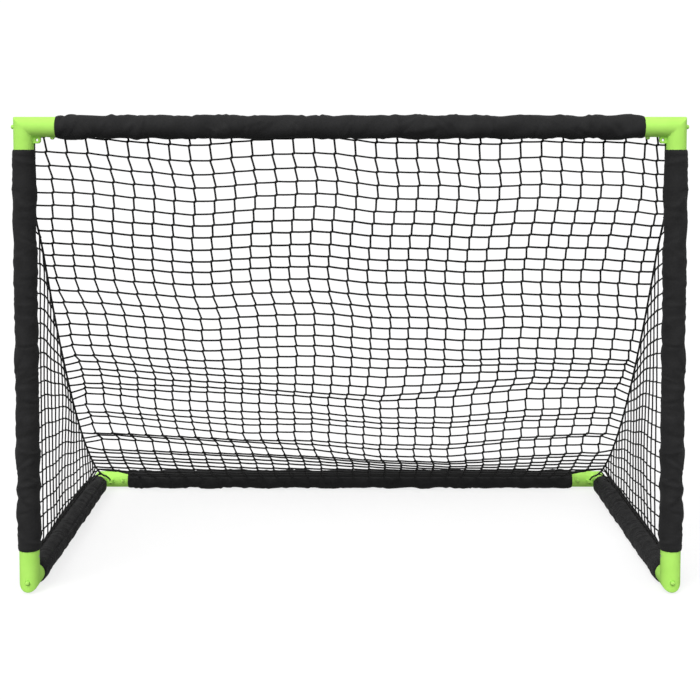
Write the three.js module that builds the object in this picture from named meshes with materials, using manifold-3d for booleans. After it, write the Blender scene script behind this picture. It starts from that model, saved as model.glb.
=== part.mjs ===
// Pop up goal for the lawn, in millimetres. X runs along the crossbar, Y runs back from the mouth
// and Z is up. The origin is on the ground, in the middle of the goal.
// An upright front frame and a U-shaped ground frame are joined by hinged feet. Every bar is a
// steel tube in a foam and fabric sleeve, held in plastic elbows by sprung buttons.
import * as THREE from 'three';
import { mergeVertices } from 'three/addons/utils/BufferGeometryUtils.js';
import Module from 'manifold-3d';

const wasm = await Module();
wasm.setup();

// ---- driving dimensions ----
const GOAL_WIDTH = 1200; // over the corner elbows
const CROSSBAR_Z = 843.5; // crossbar axis above the ground
const REAR_Y = 711; // rear bar axis behind the post axes
const ELBOW_RADIUS = 18;
const SOCKET_RADIUS = 14.35; // bore of an elbow, a slide fit on the tubes
const TUBE_RADIUS = 14;
const TUBE_BORE_RADIUS = 13;
const SLEEVE_RADIUS = 21.5; // outside of the fabric
const FABRIC = 1;
const FOAM_RADIUS = 20.1;
const FOAM_BORE_RADIUS = 14.3;
const GAP = 0.3; // between pieces that touch

const LONG_ARM = 66; // from an elbow's corner to the end of its long socket
const SHORT_ARM = 52;
const BUTTON_FROM_CORNER = 51.2;
const BUTTON_RADIUS = 3.9;
const BUTTON_HOLE_RADIUS = 4.3;
const BUTTON_TIP = 22.5; // from the tube axis to the top of a button
const HIDDEN_BUTTON_TIP = 19.9; // the one under the side sleeve
const BUTTON_FLANGE = { radius: 5.5, bottom: 9.8, top: 11.3 };
const LEAF = { thickness: 0.8, width: 8, back: 12, lead: 5.7, turn: 29 };

const PIVOT_RISE = 44; // fold pin above the side bar axis
const FOOT_ARM = 57; // upright socket of a foot
const SLOT_FLOOR = 21.8; // height over the side bar axis at which the foot's rear slot starts
const PLUG = { radius: 12.4, length: 44.5 };
const PIN = { radius: 3, hole: 3.3, length: 35.2 };
const POST_TUBE_RISE = 52; // lower end of the post tube above the side bar axis

const CROSSBAR_SLEEVE_END = 523; // half lengths and ends of the sleeves
const REAR_SLEEVE_END = 518;
const SIDE_SLEEVE = { front: 40, rear: 663 };
const POST_SLEEVE = { bottom: 78.7, top: 802.6 };
const POST_FOAM_BOTTOM = 84;
const SIDE_TUBE_FRONT = 20;

const NET = { x: 563, front: 16, top: 826.5, bend: 680, thickness: 3, shift: 1.1 };
const NET_PULL = { y: 370, z: 100 }; // control point that makes the back net sag
const NET_REAR = { y: 691, z: 34 };
const EDGE_CORD_RADIUS = 2.2;
const NET_STEPS = 12;

const ROUND = 24; // sides of a tube, one of them facing the ground
const FINE_ROUND = 12;

// ---- derived places ----
const POST_X = GOAL_WIDTH / 2 - ELBOW_RADIUS;
const BAR_Z = SLEEVE_RADIUS;
const HALF_FACET = Math.PI / ROUND;
const BAR_TUBE_END = POST_X - TUBE_RADIUS - 2 * GAP;
const FOAM_END = POST_X - LONG_ARM - 1;

// ---- materials ----
const look = (color, roughness, metalness = 0) =>
  new THREE.MeshStandardMaterial({ color, roughness, metalness });
const LIME_PLASTIC = look(0xa8e663, 0.45);
const STEEL = look(0xb9bcc0, 0.35, 0.9);
const SPRING_STEEL = look(0x8d9298, 0.3, 0.9);
const PLUG_PLASTIC = look(0x26282a, 0.6);
const FOAM = look(0x3c3d3e, 0.95);
const SLEEVE_FABRIC = look(0x2e2e2e, 0.9);
const NET_CORD = look(0x191919, 0.85);

// ---- geometry helpers ----
const flats = (radius, sides = ROUND) => radius / Math.cos(Math.PI / sides);

function welded(geometry) {
  const bare = geometry.clone();
  bare.deleteAttribute('normal');
  bare.deleteAttribute('uv');
  const joined = mergeVertices(bare, 1e-3);
  const corners = joined.index.array;
  const kept = [];
  for (let i = 0; i < corners.length; i += 3) {
    const [a, b, c] = [corners[i], corners[i + 1], corners[i + 2]];
    if (a !== b && b !== c && c !== a) kept.push(a, b, c);
  }
  joined.setIndex(kept);
  return joined;
}

function solid(geometry) {
  const closed = welded(geometry);
  return new wasm.Manifold(new wasm.Mesh({
    numProp: 3,
    vertProperties: new Float32Array(closed.attributes.position.array),
    triVerts: new Uint32Array(closed.index.array),
  }));
}

function surface(body) {
  const mesh = body.getMesh();
  const geometry = new THREE.BufferGeometry();
  geometry.setAttribute('position', new THREE.BufferAttribute(mesh.vertProperties, 3));
  geometry.setIndex(new THREE.BufferAttribute(mesh.triVerts, 1));
  return geometry;
}

function mirrored(geometry) {
  const copy = welded(geometry).applyMatrix4(new THREE.Matrix4().makeScale(-1, 1, 1));
  const corners = copy.index.array;
  for (let i = 0; i < corners.length; i += 3) {
    [corners[i], corners[i + 1]] = [corners[i + 1], corners[i]];
  }
  return copy;
}

// A round tube standing on Y = 0. Radii are to the middle of its flats.
function tube(bore, radius, length) {
  const inner = flats(bore);
  const outer = flats(radius);
  const profile = [[inner, 0], [outer, 0], [outer, length], [inner, length], [inner, 0]];
  const points = profile.map(([r, y]) => new THREE.Vector2(r, y));
  return new THREE.LatheGeometry(points, ROUND, HALF_FACET);
}

const alongX = (geometry, start) => geometry.rotateZ(-Math.PI / 2).translate(start, 0, 0);
const alongZ = (geometry, start) => geometry.rotateX(Math.PI / 2).translate(0, 0, start);

// Extrudes an outline drawn in Y and Z along X, from the given start.
function acrossX(outline, start, depth) {
  const slab = new THREE.ExtrudeGeometry(outline, { depth, bevelEnabled: false, curveSegments: 6 });
  const toYZ = new THREE.Matrix4().makeBasis(
    new THREE.Vector3(0, 1, 0),
    new THREE.Vector3(0, 0, 1),
    new THREE.Vector3(1, 0, 0),
  );
  return slab.applyMatrix4(toYZ).translate(start, 0, 0);
}

// ---- corner frame ----
// Every elbow is drawn with its corner at the origin, its long arm along +X and its short arm
// along -Z. These matrices take that drawing to the left-hand corners of the goal.
const AT_TOP = new THREE.Matrix4().makeTranslation(-POST_X, 0, CROSSBAR_Z);
const AT_REAR = new THREE.Matrix4().makeTranslation(-POST_X, REAR_Y, BAR_Z)
  .multiply(new THREE.Matrix4().makeRotationX(-Math.PI / 2));
const AT_FOOT = new THREE.Matrix4().makeTranslation(-POST_X, 0, BAR_Z).multiply(
  new THREE.Matrix4().makeBasis(
    new THREE.Vector3(0, 1, 0),
    new THREE.Vector3(1, 0, 0),
    new THREE.Vector3(0, 0, -1),
  ),
);
const placed = (geometry, matrix) => geometry.clone().applyMatrix4(matrix);

// A round bar bent sharply through 90 degrees, made by folding a cylinder at its middle ring.
function mitredBar(radius, longArm, shortArm) {
  const rim = flats(radius);
  const bar = new THREE.CylinderGeometry(rim, rim, 2, ROUND, 2, false, HALF_FACET);
  const place = bar.attributes.position;
  for (let i = 0; i < place.count; i += 1) {
    const outward = place.getX(i);
    const along = place.getY(i);
    const side = place.getZ(i);
    if (along > 0.5) place.setXYZ(i, longArm, side, outward);
    else if (along < -0.5) place.setXYZ(i, -outward, side, -shortArm);
    else place.setXYZ(i, -outward, side, outward);
  }
  return bar;
}

// The button, its hole and its leaf spring are drawn facing -Z from the tube axis at the origin.
function button(tip) {
  const dome = 2.2;
  const { radius, bottom, top } = BUTTON_FLANGE;
  const profile = [[0, bottom], [radius, bottom], [radius, top], [BUTTON_RADIUS, top]];
  const domeSteps = 4;
  for (let step = 0; step <= domeSteps; step += 1) {
    const angle = (step / domeSteps) * (Math.PI / 2);
    profile.push([BUTTON_RADIUS * Math.cos(angle), tip - dome + dome * Math.sin(angle)]);
  }
  const points = profile.map(([r, y]) => new THREE.Vector2(Math.max(r, 0), y));
  points[points.length - 1].x = 0;
  return new THREE.LatheGeometry(points, FINE_ROUND).rotateX(-Math.PI / 2);
}

function buttonHole() {
  const rim = flats(BUTTON_HOLE_RADIUS, FINE_ROUND);
  const depth = ELBOW_RADIUS - BUTTON_FLANGE.top + 4;
  return new THREE.CylinderGeometry(rim, rim, depth, FINE_ROUND)
    .rotateX(-Math.PI / 2)
    .translate(0, 0, -(BUTTON_FLANGE.top + depth / 2));
}

// A flat leaf bent into a U: one leg carries the button, the other leans on the far wall.
function leafSpring(turn, backEnd) {
  const front = BUTTON_FLANGE.bottom - GAP;
  const bend = (front + LEAF.back) / 2;
  const middle = (front - LEAF.back) / 2;
  const outline = new THREE.Shape();
  outline.moveTo(-LEAF.lead, front);
  outline.lineTo(-LEAF.lead, front - LEAF.thickness);
  outline.lineTo(turn, front - LEAF.thickness);
  outline.absarc(turn, middle, bend - LEAF.thickness, Math.PI / 2, -Math.PI / 2, true);
  outline.lineTo(backEnd, LEAF.thickness - LEAF.back);
  outline.lineTo(backEnd, -LEAF.back);
  outline.lineTo(turn, -LEAF.back);
  outline.absarc(turn, middle, bend, -Math.PI / 2, Math.PI / 2, false);
  outline.closePath();
  const settings = { depth: LEAF.width, bevelEnabled: false, curveSegments: 6 };
  return new THREE.ExtrudeGeometry(outline, settings)
    .translate(0, 0, -LEAF.width / 2)
    .rotateX(-Math.PI / 2);
}

const ON_LONG_ARM = new THREE.Matrix4().makeTranslation(BUTTON_FROM_CORNER, 0, 0);
const ON_CORNER = new THREE.Matrix4().makeRotationY(Math.PI / 2);

// The eyelet lug in an elbow's inner corner, where the net's edge cord is tied.
function lug() {
  const from = ELBOW_RADIUS - 2;
  const reach = { x: ELBOW_RADIUS + 12.6, z: ELBOW_RADIUS + 11.4 };
  const corner = 5;
  const thickness = 7;
  const outline = new THREE.Shape();
  outline.moveTo(from, -from);
  outline.lineTo(from, -reach.z);
  outline.lineTo(reach.x - corner, -reach.z);
  outline.absarc(reach.x - corner, corner - reach.z, corner, -Math.PI / 2, 0, false);
  outline.lineTo(reach.x, -from);
  outline.closePath();
  const eyelet = new THREE.Path();
  eyelet.absarc(ELBOW_RADIUS + 6, -ELBOW_RADIUS - 5.4, 2.4, 0, 2 * Math.PI, true);
  outline.holes.push(eyelet);
  return new THREE.ExtrudeGeometry(outline, { depth: thickness, bevelEnabled: false, curveSegments: 5 })
    .rotateX(Math.PI / 2)
    .translate(0, thickness / 2, 0);
}

function cornerElbow() {
  return surface(solid(mitredBar(ELBOW_RADIUS, LONG_ARM, SHORT_ARM))
    .add(solid(lug()))
    .subtract(solid(mitredBar(SOCKET_RADIUS, LONG_ARM + 1, SHORT_ARM + 1)))
    .subtract(solid(placed(buttonHole(), ON_LONG_ARM)))
    .subtract(solid(placed(buttonHole(), ON_CORNER))));
}

// A foot: its upright socket is slotted at the rear, so that the post can fold back through it.
function footElbow() {
  const slotHeight = FOOT_ARM - SLOT_FLOOR + 2;
  const slot = new THREE.BoxGeometry(2 * ELBOW_RADIUS, 2 * SOCKET_RADIUS, slotHeight)
    .translate(ELBOW_RADIUS, 0, -(SLOT_FLOOR + slotHeight / 2));
  const pinHole = new THREE.CylinderGeometry(PIN.hole, PIN.hole, 3 * ELBOW_RADIUS, FINE_ROUND)
    .translate(0, 0, -PIVOT_RISE);
  return surface(solid(mitredBar(ELBOW_RADIUS, LONG_ARM, FOOT_ARM))
    .subtract(solid(mitredBar(SOCKET_RADIUS, LONG_ARM + 1, FOOT_ARM + 1)))
    .subtract(solid(slot))
    .subtract(solid(pinHole))
    .subtract(solid(placed(buttonHole(), ON_LONG_ARM)))
    .subtract(solid(placed(buttonHole(), ON_CORNER))));
}

// The tube in an elbow's short arm runs right into the corner, where its end is cut on the slant.
function cornerTube(length) {
  const reach = 40;
  const slant = new THREE.BoxGeometry(2 * reach, 2 * reach, 2 * reach)
    .translate(0, 0, reach - GAP)
    .rotateY(Math.PI / 4);
  return solid(alongZ(tube(TUBE_BORE_RADIUS, TUBE_RADIUS, length + ELBOW_RADIUS), -length))
    .subtract(solid(slant))
    .subtract(solid(placed(buttonHole(), ON_CORNER)));
}

function sideTube() {
  const upward = new THREE.Matrix4().makeTranslation(0, 0, BUTTON_FROM_CORNER - REAR_Y)
    .multiply(new THREE.Matrix4().makeRotationZ(Math.PI / 2))
    .multiply(ON_CORNER);
  return surface(cornerTube(REAR_Y - SIDE_TUBE_FRONT).subtract(solid(placed(buttonHole(), upward))));
}

// The crossbar's or the rear bar's tube, with a button hole near each end.
function barTube() {
  const hole = (x) => solid(buttonHole().translate(x, 0, 0));
  const holeX = POST_X - BUTTON_FROM_CORNER;
  return surface(solid(alongX(tube(TUBE_BORE_RADIUS, TUBE_RADIUS, 2 * BAR_TUBE_END), -BAR_TUBE_END))
    .subtract(hole(-holeX))
    .subtract(hole(holeX)));
}

// The round-nosed plug that is fixed in the foot of a post and turns on the fold pin.
function hingePlug() {
  const points = [];
  const noseSteps = 5;
  for (let step = 0; step <= noseSteps; step += 1) {
    const angle = (step / noseSteps - 1) * (Math.PI / 2);
    points.push(new THREE.Vector2(PLUG.radius * Math.cos(angle), PLUG.radius * Math.sin(angle)));
  }
  points[0].x = 0;
  points.push(new THREE.Vector2(PLUG.radius, PLUG.length), new THREE.Vector2(0, PLUG.length));
  const pinHole = new THREE.CylinderGeometry(PIN.hole, PIN.hole, 3 * PLUG.radius, FINE_ROUND)
    .rotateX(Math.PI / 2);
  return surface(solid(new THREE.LatheGeometry(points, ROUND, HALF_FACET)).subtract(solid(pinHole)))
    .rotateX(-Math.PI / 2)
    .translate(0, 0, -PIVOT_RISE);
}

const foldPin = () => new THREE.CylinderGeometry(PIN.radius, PIN.radius, PIN.length, FINE_ROUND)
  .translate(0, 0, -PIVOT_RISE);

// ---- sleeves ----
const sleeve = (length) => tube(SLEEVE_RADIUS - FABRIC, SLEEVE_RADIUS, length);
const foam = (length) => tube(FOAM_BORE_RADIUS, FOAM_RADIUS, length);

// ---- net ----
// Seen from the side, the back net hangs straight behind the posts and then sags to the rear bar.
function netProfile(shiftY, shiftZ) {
  const sag = new THREE.QuadraticBezierCurve(
    new THREE.Vector2(NET.front + shiftY, NET.bend + shiftZ),
    new THREE.Vector2(NET_PULL.y + shiftY, NET_PULL.z + shiftZ),
    new THREE.Vector2(NET_REAR.y + shiftY, NET_REAR.z + shiftZ),
  );
  return sag.getPoints(NET_STEPS);
}

function backNet() {
  const halfWidth = NET.x - EDGE_CORD_RADIUS - 4 * GAP;
  const above = netProfile(NET.shift, NET.shift);
  const below = netProfile(-NET.shift, -NET.shift).reverse();
  const outline = new THREE.Shape();
  outline.moveTo(NET.front - NET.shift, NET.top - NET.shift);
  outline.lineTo(NET.front + NET.shift, NET.top + NET.shift);
  [...above, ...below].forEach((point) => outline.lineTo(point.x, point.y));
  outline.closePath();
  return acrossX(outline, -halfWidth, 2 * halfWidth);
}

function sideNet() {
  const clearOfCord = EDGE_CORD_RADIUS + GAP + 0.1;
  const frontEdge = 13.5;
  const lowerEdge = 35;
  const rearEnd = 650;
  const slope = netProfile(-clearOfCord, -clearOfCord).filter((point) => point.x < rearEnd - 5);
  const outline = new THREE.Shape();
  outline.moveTo(frontEdge, lowerEdge);
  outline.lineTo(rearEnd, lowerEdge);
  slope.slice(1).reverse().forEach((point) => outline.lineTo(point.x, point.y));
  outline.lineTo(frontEdge, NET.bend - clearOfCord);
  outline.closePath();
  return acrossX(outline, -NET.x - NET.thickness / 2, NET.thickness);
}

function edgeCord() {
  const at = (y, z) => new THREE.Vector3(-NET.x, y, z);
  const route = new THREE.CurvePath();
  route.add(new THREE.LineCurve3(at(NET.front, NET.top), at(NET.front, NET.bend)));
  route.add(new THREE.QuadraticBezierCurve3(
    at(NET.front, NET.bend),
    at(NET_PULL.y, NET_PULL.z),
    at(NET_REAR.y, NET_REAR.z),
  ));
  const section = new THREE.Shape();
  section.absarc(0, 0, EDGE_CORD_RADIUS, 0, 2 * Math.PI, false);
  return new THREE.ExtrudeGeometry(section, { steps: 28, extrudePath: route, curveSegments: 4 });
}

// ---- assembly ----
const goal = new THREE.Group();
goal.position.y = (BUTTON_TIP - REAR_Y - SLEEVE_RADIUS) / 2;

function add(name, geometry, material) {
  const mesh = new THREE.Mesh(geometry, material);
  mesh.name = name;
  goal.add(mesh);
}

function addPair(name, leftGeometry, material) {
  add(`left_${name}`, leftGeometry, material);
  add(`right_${name}`, mirrored(leftGeometry), material);
}

function addButton(name, corner, seat, tip, turn, backEnd) {
  const toGoal = corner.clone().multiply(seat);
  addPair(`${name}_button`, placed(button(tip), toGoal), LIME_PLASTIC);
  addPair(`${name}_spring`, placed(leafSpring(turn, backEnd), toGoal), SPRING_STEEL);
}

add('crossbar_tube', barTube().translate(0, 0, CROSSBAR_Z), STEEL);
add('crossbar_foam', alongX(foam(2 * FOAM_END), -FOAM_END).translate(0, 0, CROSSBAR_Z), FOAM);
add('crossbar_sleeve', alongX(sleeve(2 * CROSSBAR_SLEEVE_END), -CROSSBAR_SLEEVE_END)
  .translate(0, 0, CROSSBAR_Z), SLEEVE_FABRIC);
add('rear_tube', barTube().rotateX(-Math.PI / 2).translate(0, REAR_Y, BAR_Z), STEEL);
add('rear_foam', alongX(foam(2 * FOAM_END), -FOAM_END).translate(0, REAR_Y, BAR_Z), FOAM);
add('rear_sleeve', alongX(sleeve(2 * REAR_SLEEVE_END), -REAR_SLEEVE_END)
  .translate(0, REAR_Y, BAR_Z), SLEEVE_FABRIC);

const postTubeLength = CROSSBAR_Z - BAR_Z - POST_TUBE_RISE;
const postFoamTop = CROSSBAR_Z - SHORT_ARM - 1;
addPair('post_tube', placed(surface(cornerTube(postTubeLength)), AT_TOP), STEEL);
addPair('post_foam', alongZ(foam(postFoamTop - POST_FOAM_BOTTOM), POST_FOAM_BOTTOM)
  .translate(-POST_X, 0, 0), FOAM);
addPair('post_sleeve', alongZ(sleeve(POST_SLEEVE.top - POST_SLEEVE.bottom), POST_SLEEVE.bottom)
  .translate(-POST_X, 0, 0), SLEEVE_FABRIC);

const sideFoamFront = LONG_ARM + 1;
const sideFoamLength = REAR_Y - SHORT_ARM - 1 - sideFoamFront;
addPair('side_tube', placed(sideTube(), AT_REAR), STEEL);
addPair('side_foam', foam(sideFoamLength).translate(-POST_X, sideFoamFront, BAR_Z), FOAM);
addPair('side_sleeve', sleeve(SIDE_SLEEVE.rear - SIDE_SLEEVE.front)
  .translate(-POST_X, SIDE_SLEEVE.front, BAR_Z), SLEEVE_FABRIC);

addPair('top_elbow', placed(cornerElbow(), AT_TOP), LIME_PLASTIC);
addPair('rear_elbow', placed(cornerElbow(), AT_REAR), LIME_PLASTIC);
addPair('foot_elbow', placed(footElbow(), AT_FOOT), LIME_PLASTIC);
addPair('hinge_plug', placed(hingePlug(), AT_FOOT), PLUG_PLASTIC);
addPair('fold_pin', placed(foldPin(), AT_FOOT), STEEL);

const cornerBackEnd = 14; // the back leg stays below the slanted tube end
addButton('crossbar', AT_TOP, ON_LONG_ARM, BUTTON_TIP, LEAF.turn, 0);
addButton('post', AT_TOP, ON_CORNER, BUTTON_TIP, LEAF.turn, cornerBackEnd);
addButton('rear_bar', AT_REAR, ON_LONG_ARM, BUTTON_TIP, LEAF.turn, 0);
addButton('side_bar_rear', AT_REAR, ON_CORNER, BUTTON_TIP, LEAF.turn, cornerBackEnd);
addButton('side_bar_front', AT_FOOT, ON_LONG_ARM, HIDDEN_BUTTON_TIP, LEAF.turn, 0);
addButton('fold_release', AT_FOOT, ON_CORNER, BUTTON_TIP, 18.5, 16);

add('back_net', backNet(), NET_CORD);
addPair('side_net', sideNet(), NET_CORD);
addPair('edge_cord', edgeCord(), NET_CORD);

export default goal;
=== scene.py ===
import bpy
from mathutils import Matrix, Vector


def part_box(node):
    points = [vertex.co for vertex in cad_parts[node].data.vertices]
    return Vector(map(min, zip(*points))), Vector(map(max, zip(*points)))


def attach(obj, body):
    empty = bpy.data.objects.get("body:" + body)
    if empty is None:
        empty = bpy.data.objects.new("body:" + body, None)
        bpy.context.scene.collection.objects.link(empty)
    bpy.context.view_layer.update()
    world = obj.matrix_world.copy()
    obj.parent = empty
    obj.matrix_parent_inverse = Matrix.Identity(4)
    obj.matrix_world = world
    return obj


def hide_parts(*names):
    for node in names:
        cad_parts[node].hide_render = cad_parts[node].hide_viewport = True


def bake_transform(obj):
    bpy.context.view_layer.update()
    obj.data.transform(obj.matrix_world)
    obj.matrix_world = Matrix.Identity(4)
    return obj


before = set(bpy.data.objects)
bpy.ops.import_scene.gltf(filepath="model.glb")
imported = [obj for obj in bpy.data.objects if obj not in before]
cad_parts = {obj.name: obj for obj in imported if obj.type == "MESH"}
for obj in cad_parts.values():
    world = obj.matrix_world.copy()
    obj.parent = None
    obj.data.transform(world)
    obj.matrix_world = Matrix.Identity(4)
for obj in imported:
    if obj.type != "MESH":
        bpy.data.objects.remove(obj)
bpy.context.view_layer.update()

# Pop up goal for the lawn. Shapes are worked out in millimetres in the part's own layout: X along
# the crossbar, Y back from the post axes, Z up from the ground. to_row() takes them to the row
# frame, in metres. Left-hand pieces are at negative X, and right-hand ones are mirrored.
import math

import bmesh
import bpy
import numpy as np

# ---- sizes, in millimetres ----
POST_X = 582.0
CROSSBAR_Z = 843.5
REAR_Y = 711.0
BAR_Z = 21.5
ELBOW_RADIUS = 18.0
SOCKET_RADIUS = 14.35
LONG_ARM = 66.0
SHORT_ARM = 52.0
FOOT_ARM = 57.0
BUTTON_FROM_CORNER = 51.2
BUTTON_RADIUS = 3.9
BUTTON_HOLE_RADIUS = 4.3
BUTTON_TIP = 22.5
HIDDEN_BUTTON_TIP = 19.9
PIVOT_RISE = 44.0
PIN_HOLE_RADIUS = 3.3
SLOT_FLOOR = 21.8
NET_X = 563.0
CORD_RADIUS = 1.8
SIDE_CORD_RADIUS = 1.4
EDGE_CORD_RADIUS = 1.9
SLEEVE_RADIUS = 20.9
FABRIC = 1.1
UPPER_CORNER = (16.0, 680.0)
NET_PULL = (370.0, 100.0)
NET_REAR = (691.0, 34.0)
NET_TOP = 826.5
SIDES = ((False, "left"), (True, "right"))

low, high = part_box("crossbar_tube")
ROW_Y = (low.y + high.y) / 2


def to_row(points):
    """Millimetres in the part's layout to metres in the row frame."""
    return np.asarray(points, float) / 1000.0 + (0.0, ROW_Y, 0.0)


# ---- materials ----
class Nodes:
    """A short way of writing the node tree of a new material or world."""

    def __init__(self, name, kind="materials", shader="Principled BSDF"):
        self.block = getattr(bpy.data, kind).new(name)
        self.block.use_nodes = True
        self.tree = self.block.node_tree
        self.shader = self.tree.nodes[shader]

    def wire(self, node, inputs):
        """Link sockets to a node's inputs, and set plain values on them."""
        for key, value in inputs.items():
            if isinstance(value, bpy.types.NodeSocket):
                self.tree.links.new(value, node.inputs[key])
            else:
                node.inputs[key].default_value = value

    def add(self, kind, inputs=None, **settings):
        node = self.tree.nodes.new(kind)
        for key, value in settings.items():
            setattr(node, key, value)
        self.wire(node, inputs or {})
        return node

    def stretched(self, where, scale):
        return self.add("ShaderNodeMapping", {"Vector": where, "Scale": scale}).outputs["Vector"]

    def maths(self, operation, first, second=0.0):
        return self.add("ShaderNodeMath", {0: first, 1: second}, operation=operation).outputs[0]

    def noise(self, where, scale, detail=3.0, roughness=0.55):
        settings = {"Vector": where, "Scale": scale, "Detail": detail, "Roughness": roughness}
        return self.add("ShaderNodeTexNoise", settings).outputs["Fac"]

    def ramp(self, value, stops):
        node = self.add("ShaderNodeValToRGB", {"Fac": value})
        elements = node.color_ramp.elements
        while len(elements) < len(stops):
            elements.new(0.5)
        for element, (place, colour) in zip(elements, stops):
            element.position = place
            element.color = (*colour, 1.0)
        return node.outputs["Color"]

    def spread(self, value, low_value, high_value):
        settings = {"Value": value, "To Min": low_value, "To Max": high_value}
        return self.add("ShaderNodeMapRange", settings).outputs["Result"]

    def bump(self, height, distance, strength, below=None):
        settings = {"Height": height, "Distance": distance, "Strength": strength}
        if below is not None:
            settings["Normal"] = below
        return self.add("ShaderNodeBump", settings).outputs["Normal"]

    def finish(self, inputs):
        self.wire(self.shader, inputs)
        return self.block


def object_place(nodes):
    return nodes.add("ShaderNodeTexCoord").outputs["Object"]


def stored(nodes, name):
    return nodes.add("ShaderNodeAttribute", attribute_name=name).outputs["Vector"]


def plastic(name, shades, roughness):
    """Moulded plastic: soft mottling, a fine grain and a few scuffs."""
    n = Nodes(name)
    where = object_place(n)
    mottle = n.noise(where, 38.0)
    scuffs = n.noise(n.stretched(where, (1.0, 1.0, 7.0)), 160.0, 5.0, 0.7)
    dulled = n.maths("MULTIPLY", n.maths("GREATER_THAN", scuffs, 0.66), 0.08)
    grain = n.noise(where, 1500.0, 2.0)
    return n.finish({
        "Base Color": n.ramp(mottle, [(0.3, shades[0]), (0.7, shades[1])]),
        "Roughness": n.maths("ADD", n.spread(mottle, *roughness), dulled),
        "Normal": n.bump(grain, 0.00004, 0.6, n.bump(mottle, 0.0004, 0.35)),
        "IOR": 1.46,
        "Specular IOR Level": 0.42,
    })


def metal(name, shade, roughness, stretch):
    """Drawn steel, with brush lines along the piece."""
    n = Nodes(name)
    lines = n.noise(n.stretched(object_place(n), stretch), 900.0, 4.0, 0.7)
    return n.finish({
        "Base Color": (*shade, 1.0),
        "Roughness": n.spread(lines, *roughness),
        "Normal": n.bump(lines, 0.00003, 0.5),
        "Metallic": 1.0,
    })


def woven(name, shades):
    """Plain-weave cloth, whose colour has painted shade between the threads of the weave and a random
    tone. The stored cloth place is in millimetres along and round the sleeve.
    """
    n = Nodes(name)
    cloth = stored(n, "cloth")
    warp, weft = (n.add("ShaderNodeTexWave", {"Vector": cloth, "Scale": 0.42, "Distortion": 0.3},
                        bands_direction=way).outputs["Fac"] for way in "XY")
    weave = n.maths("MULTIPLY", warp, weft)
    fluff = n.noise(cloth, 1.3, 4.0, 0.65)
    patches = n.noise(cloth, 0.035)
    uneven = n.maths("ADD", n.maths("MULTIPLY", fluff, 0.35), n.maths("MULTIPLY", patches, 0.4))
    # Painted shade: the weave, which also sets the bump, makes the colour lighter on the raised
    # threads and darker between them; fluff and patches add a random tone.
    relief_shade_and_tone = n.maths("ADD", n.maths("MULTIPLY", weave, 0.25), uneven)
    rumples = n.noise(n.stretched(cloth, (1.0, 0.45, 1.0)), 0.16, 4.0, 0.6)
    return n.finish({
        "Base Color": n.ramp(relief_shade_and_tone, [(0.25, shades[0]), (0.5, shades[1]), (0.8, shades[2])]),
        "Roughness": n.spread(fluff, 0.68, 0.92),
        "Normal": n.bump(weave, 0.00012, 0.8, n.bump(rumples, 0.0011, 0.8)),
        "Specular IOR Level": 0.22,
        "Sheen Weight": 0.04,
        "Sheen Roughness": 0.45,
    })


def twisted(name, shades, pitch):
    """Three-strand cord, whose colour has painted shade in the grooves between strands and a random
    fibre tone. The stored cord place is in millimetres along and turns round the cord.
    """
    n = Nodes(name)
    cord = stored(n, "cord")
    place = n.add("ShaderNodeSeparateXYZ", {"Vector": cord}).outputs
    turn = n.maths("ADD", n.maths("MULTIPLY", place["X"], 1.0 / pitch), place["Y"])
    strands = n.maths("SINE", n.maths("MULTIPLY", turn, 3 * 2 * math.pi))
    fibre = n.noise(cord, 2.2)
    # Painted shade: the strands, which also set the bump, make the colour lighter on the strand crowns
    # and darker in the grooves; fibre adds a random tone.
    relief_shade_and_tone = n.maths("ADD", n.spread(strands, 0.0, 0.45), n.maths("MULTIPLY", fibre, 0.5))
    return n.finish({
        "Base Color": n.ramp(relief_shade_and_tone, [(0.2, shades[0]), (0.8, shades[1])]),
        "Roughness": n.spread(fibre, 0.6, 0.85),
        "Normal": n.bump(n.maths("ADD", strands, fibre), 0.00018, 0.7),
        "Specular IOR Level": 0.3,
        "Sheen Weight": 0.04,
    })


LIME = plastic("lime_plastic", ((0.42, 0.82, 0.125), (0.46, 0.87, 0.145)), (0.82, 0.94))
BUTTON_LIME = plastic("button_plastic", ((0.40, 0.76, 0.13), (0.45, 0.82, 0.15)), (0.78, 0.88))
BLACK_PLASTIC = plastic("plug_plastic", ((0.016, 0.017, 0.018), (0.024, 0.025, 0.027)), (0.85, 1.0))
STEEL = metal("galvanised_steel", (0.56, 0.57, 0.58), (0.25, 0.42), (1, 40, 1))
SPRING = metal("spring_steel", (0.36, 0.37, 0.4), (0.15, 0.3), (30, 1, 1))
CLOTH = woven("sleeve_fabric", ((0.010, 0.010, 0.0105), (0.017, 0.017, 0.0175), (0.028, 0.028, 0.029)))
THREAD = twisted("stitching_thread", ((0.006, 0.006, 0.006), (0.02, 0.02, 0.02)), 1.2)
NET_CORD = twisted("net_cord", ((0.004, 0.004, 0.004), (0.013, 0.013, 0.013)), 4.5)
ROPE = twisted("edge_cord", ((0.004, 0.004, 0.004), (0.015, 0.015, 0.015)), 9.0)


# ---- mesh helpers ----
def new_object(name, data):
    thing = bpy.data.objects.new(name, data)
    bpy.context.scene.collection.objects.link(thing)
    return thing


def set_material(thing, material):
    thing.data.materials.clear()
    thing.data.materials.append(material)


def unit(vectors):
    vectors = np.asarray(vectors, float)
    return vectors / np.maximum(np.linalg.norm(vectors, axis=-1, keepdims=True), 1e-9)


def angles(count):
    """Even steps round a full turn."""
    return np.arange(count) / count * 2 * math.pi


def on_circle(angle, first, second):
    """Points at each angle of a circle that first and second, at right angles, are radii of."""
    return np.cos(angle)[:, None] * first + np.sin(angle)[:, None] * second


def triples(*values):
    """Three arrays, spread over their common grid, as rows of three numbers."""
    return np.stack(np.broadcast_arrays(*values), -1).reshape(-1, 3)


def bezier(t, start, pull, end):
    """Points at the shares t of a curve from start to end, drawn towards pull."""
    return (1 - t) ** 2 * start + 2 * t * (1 - t) * pull + t * t * end


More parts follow.
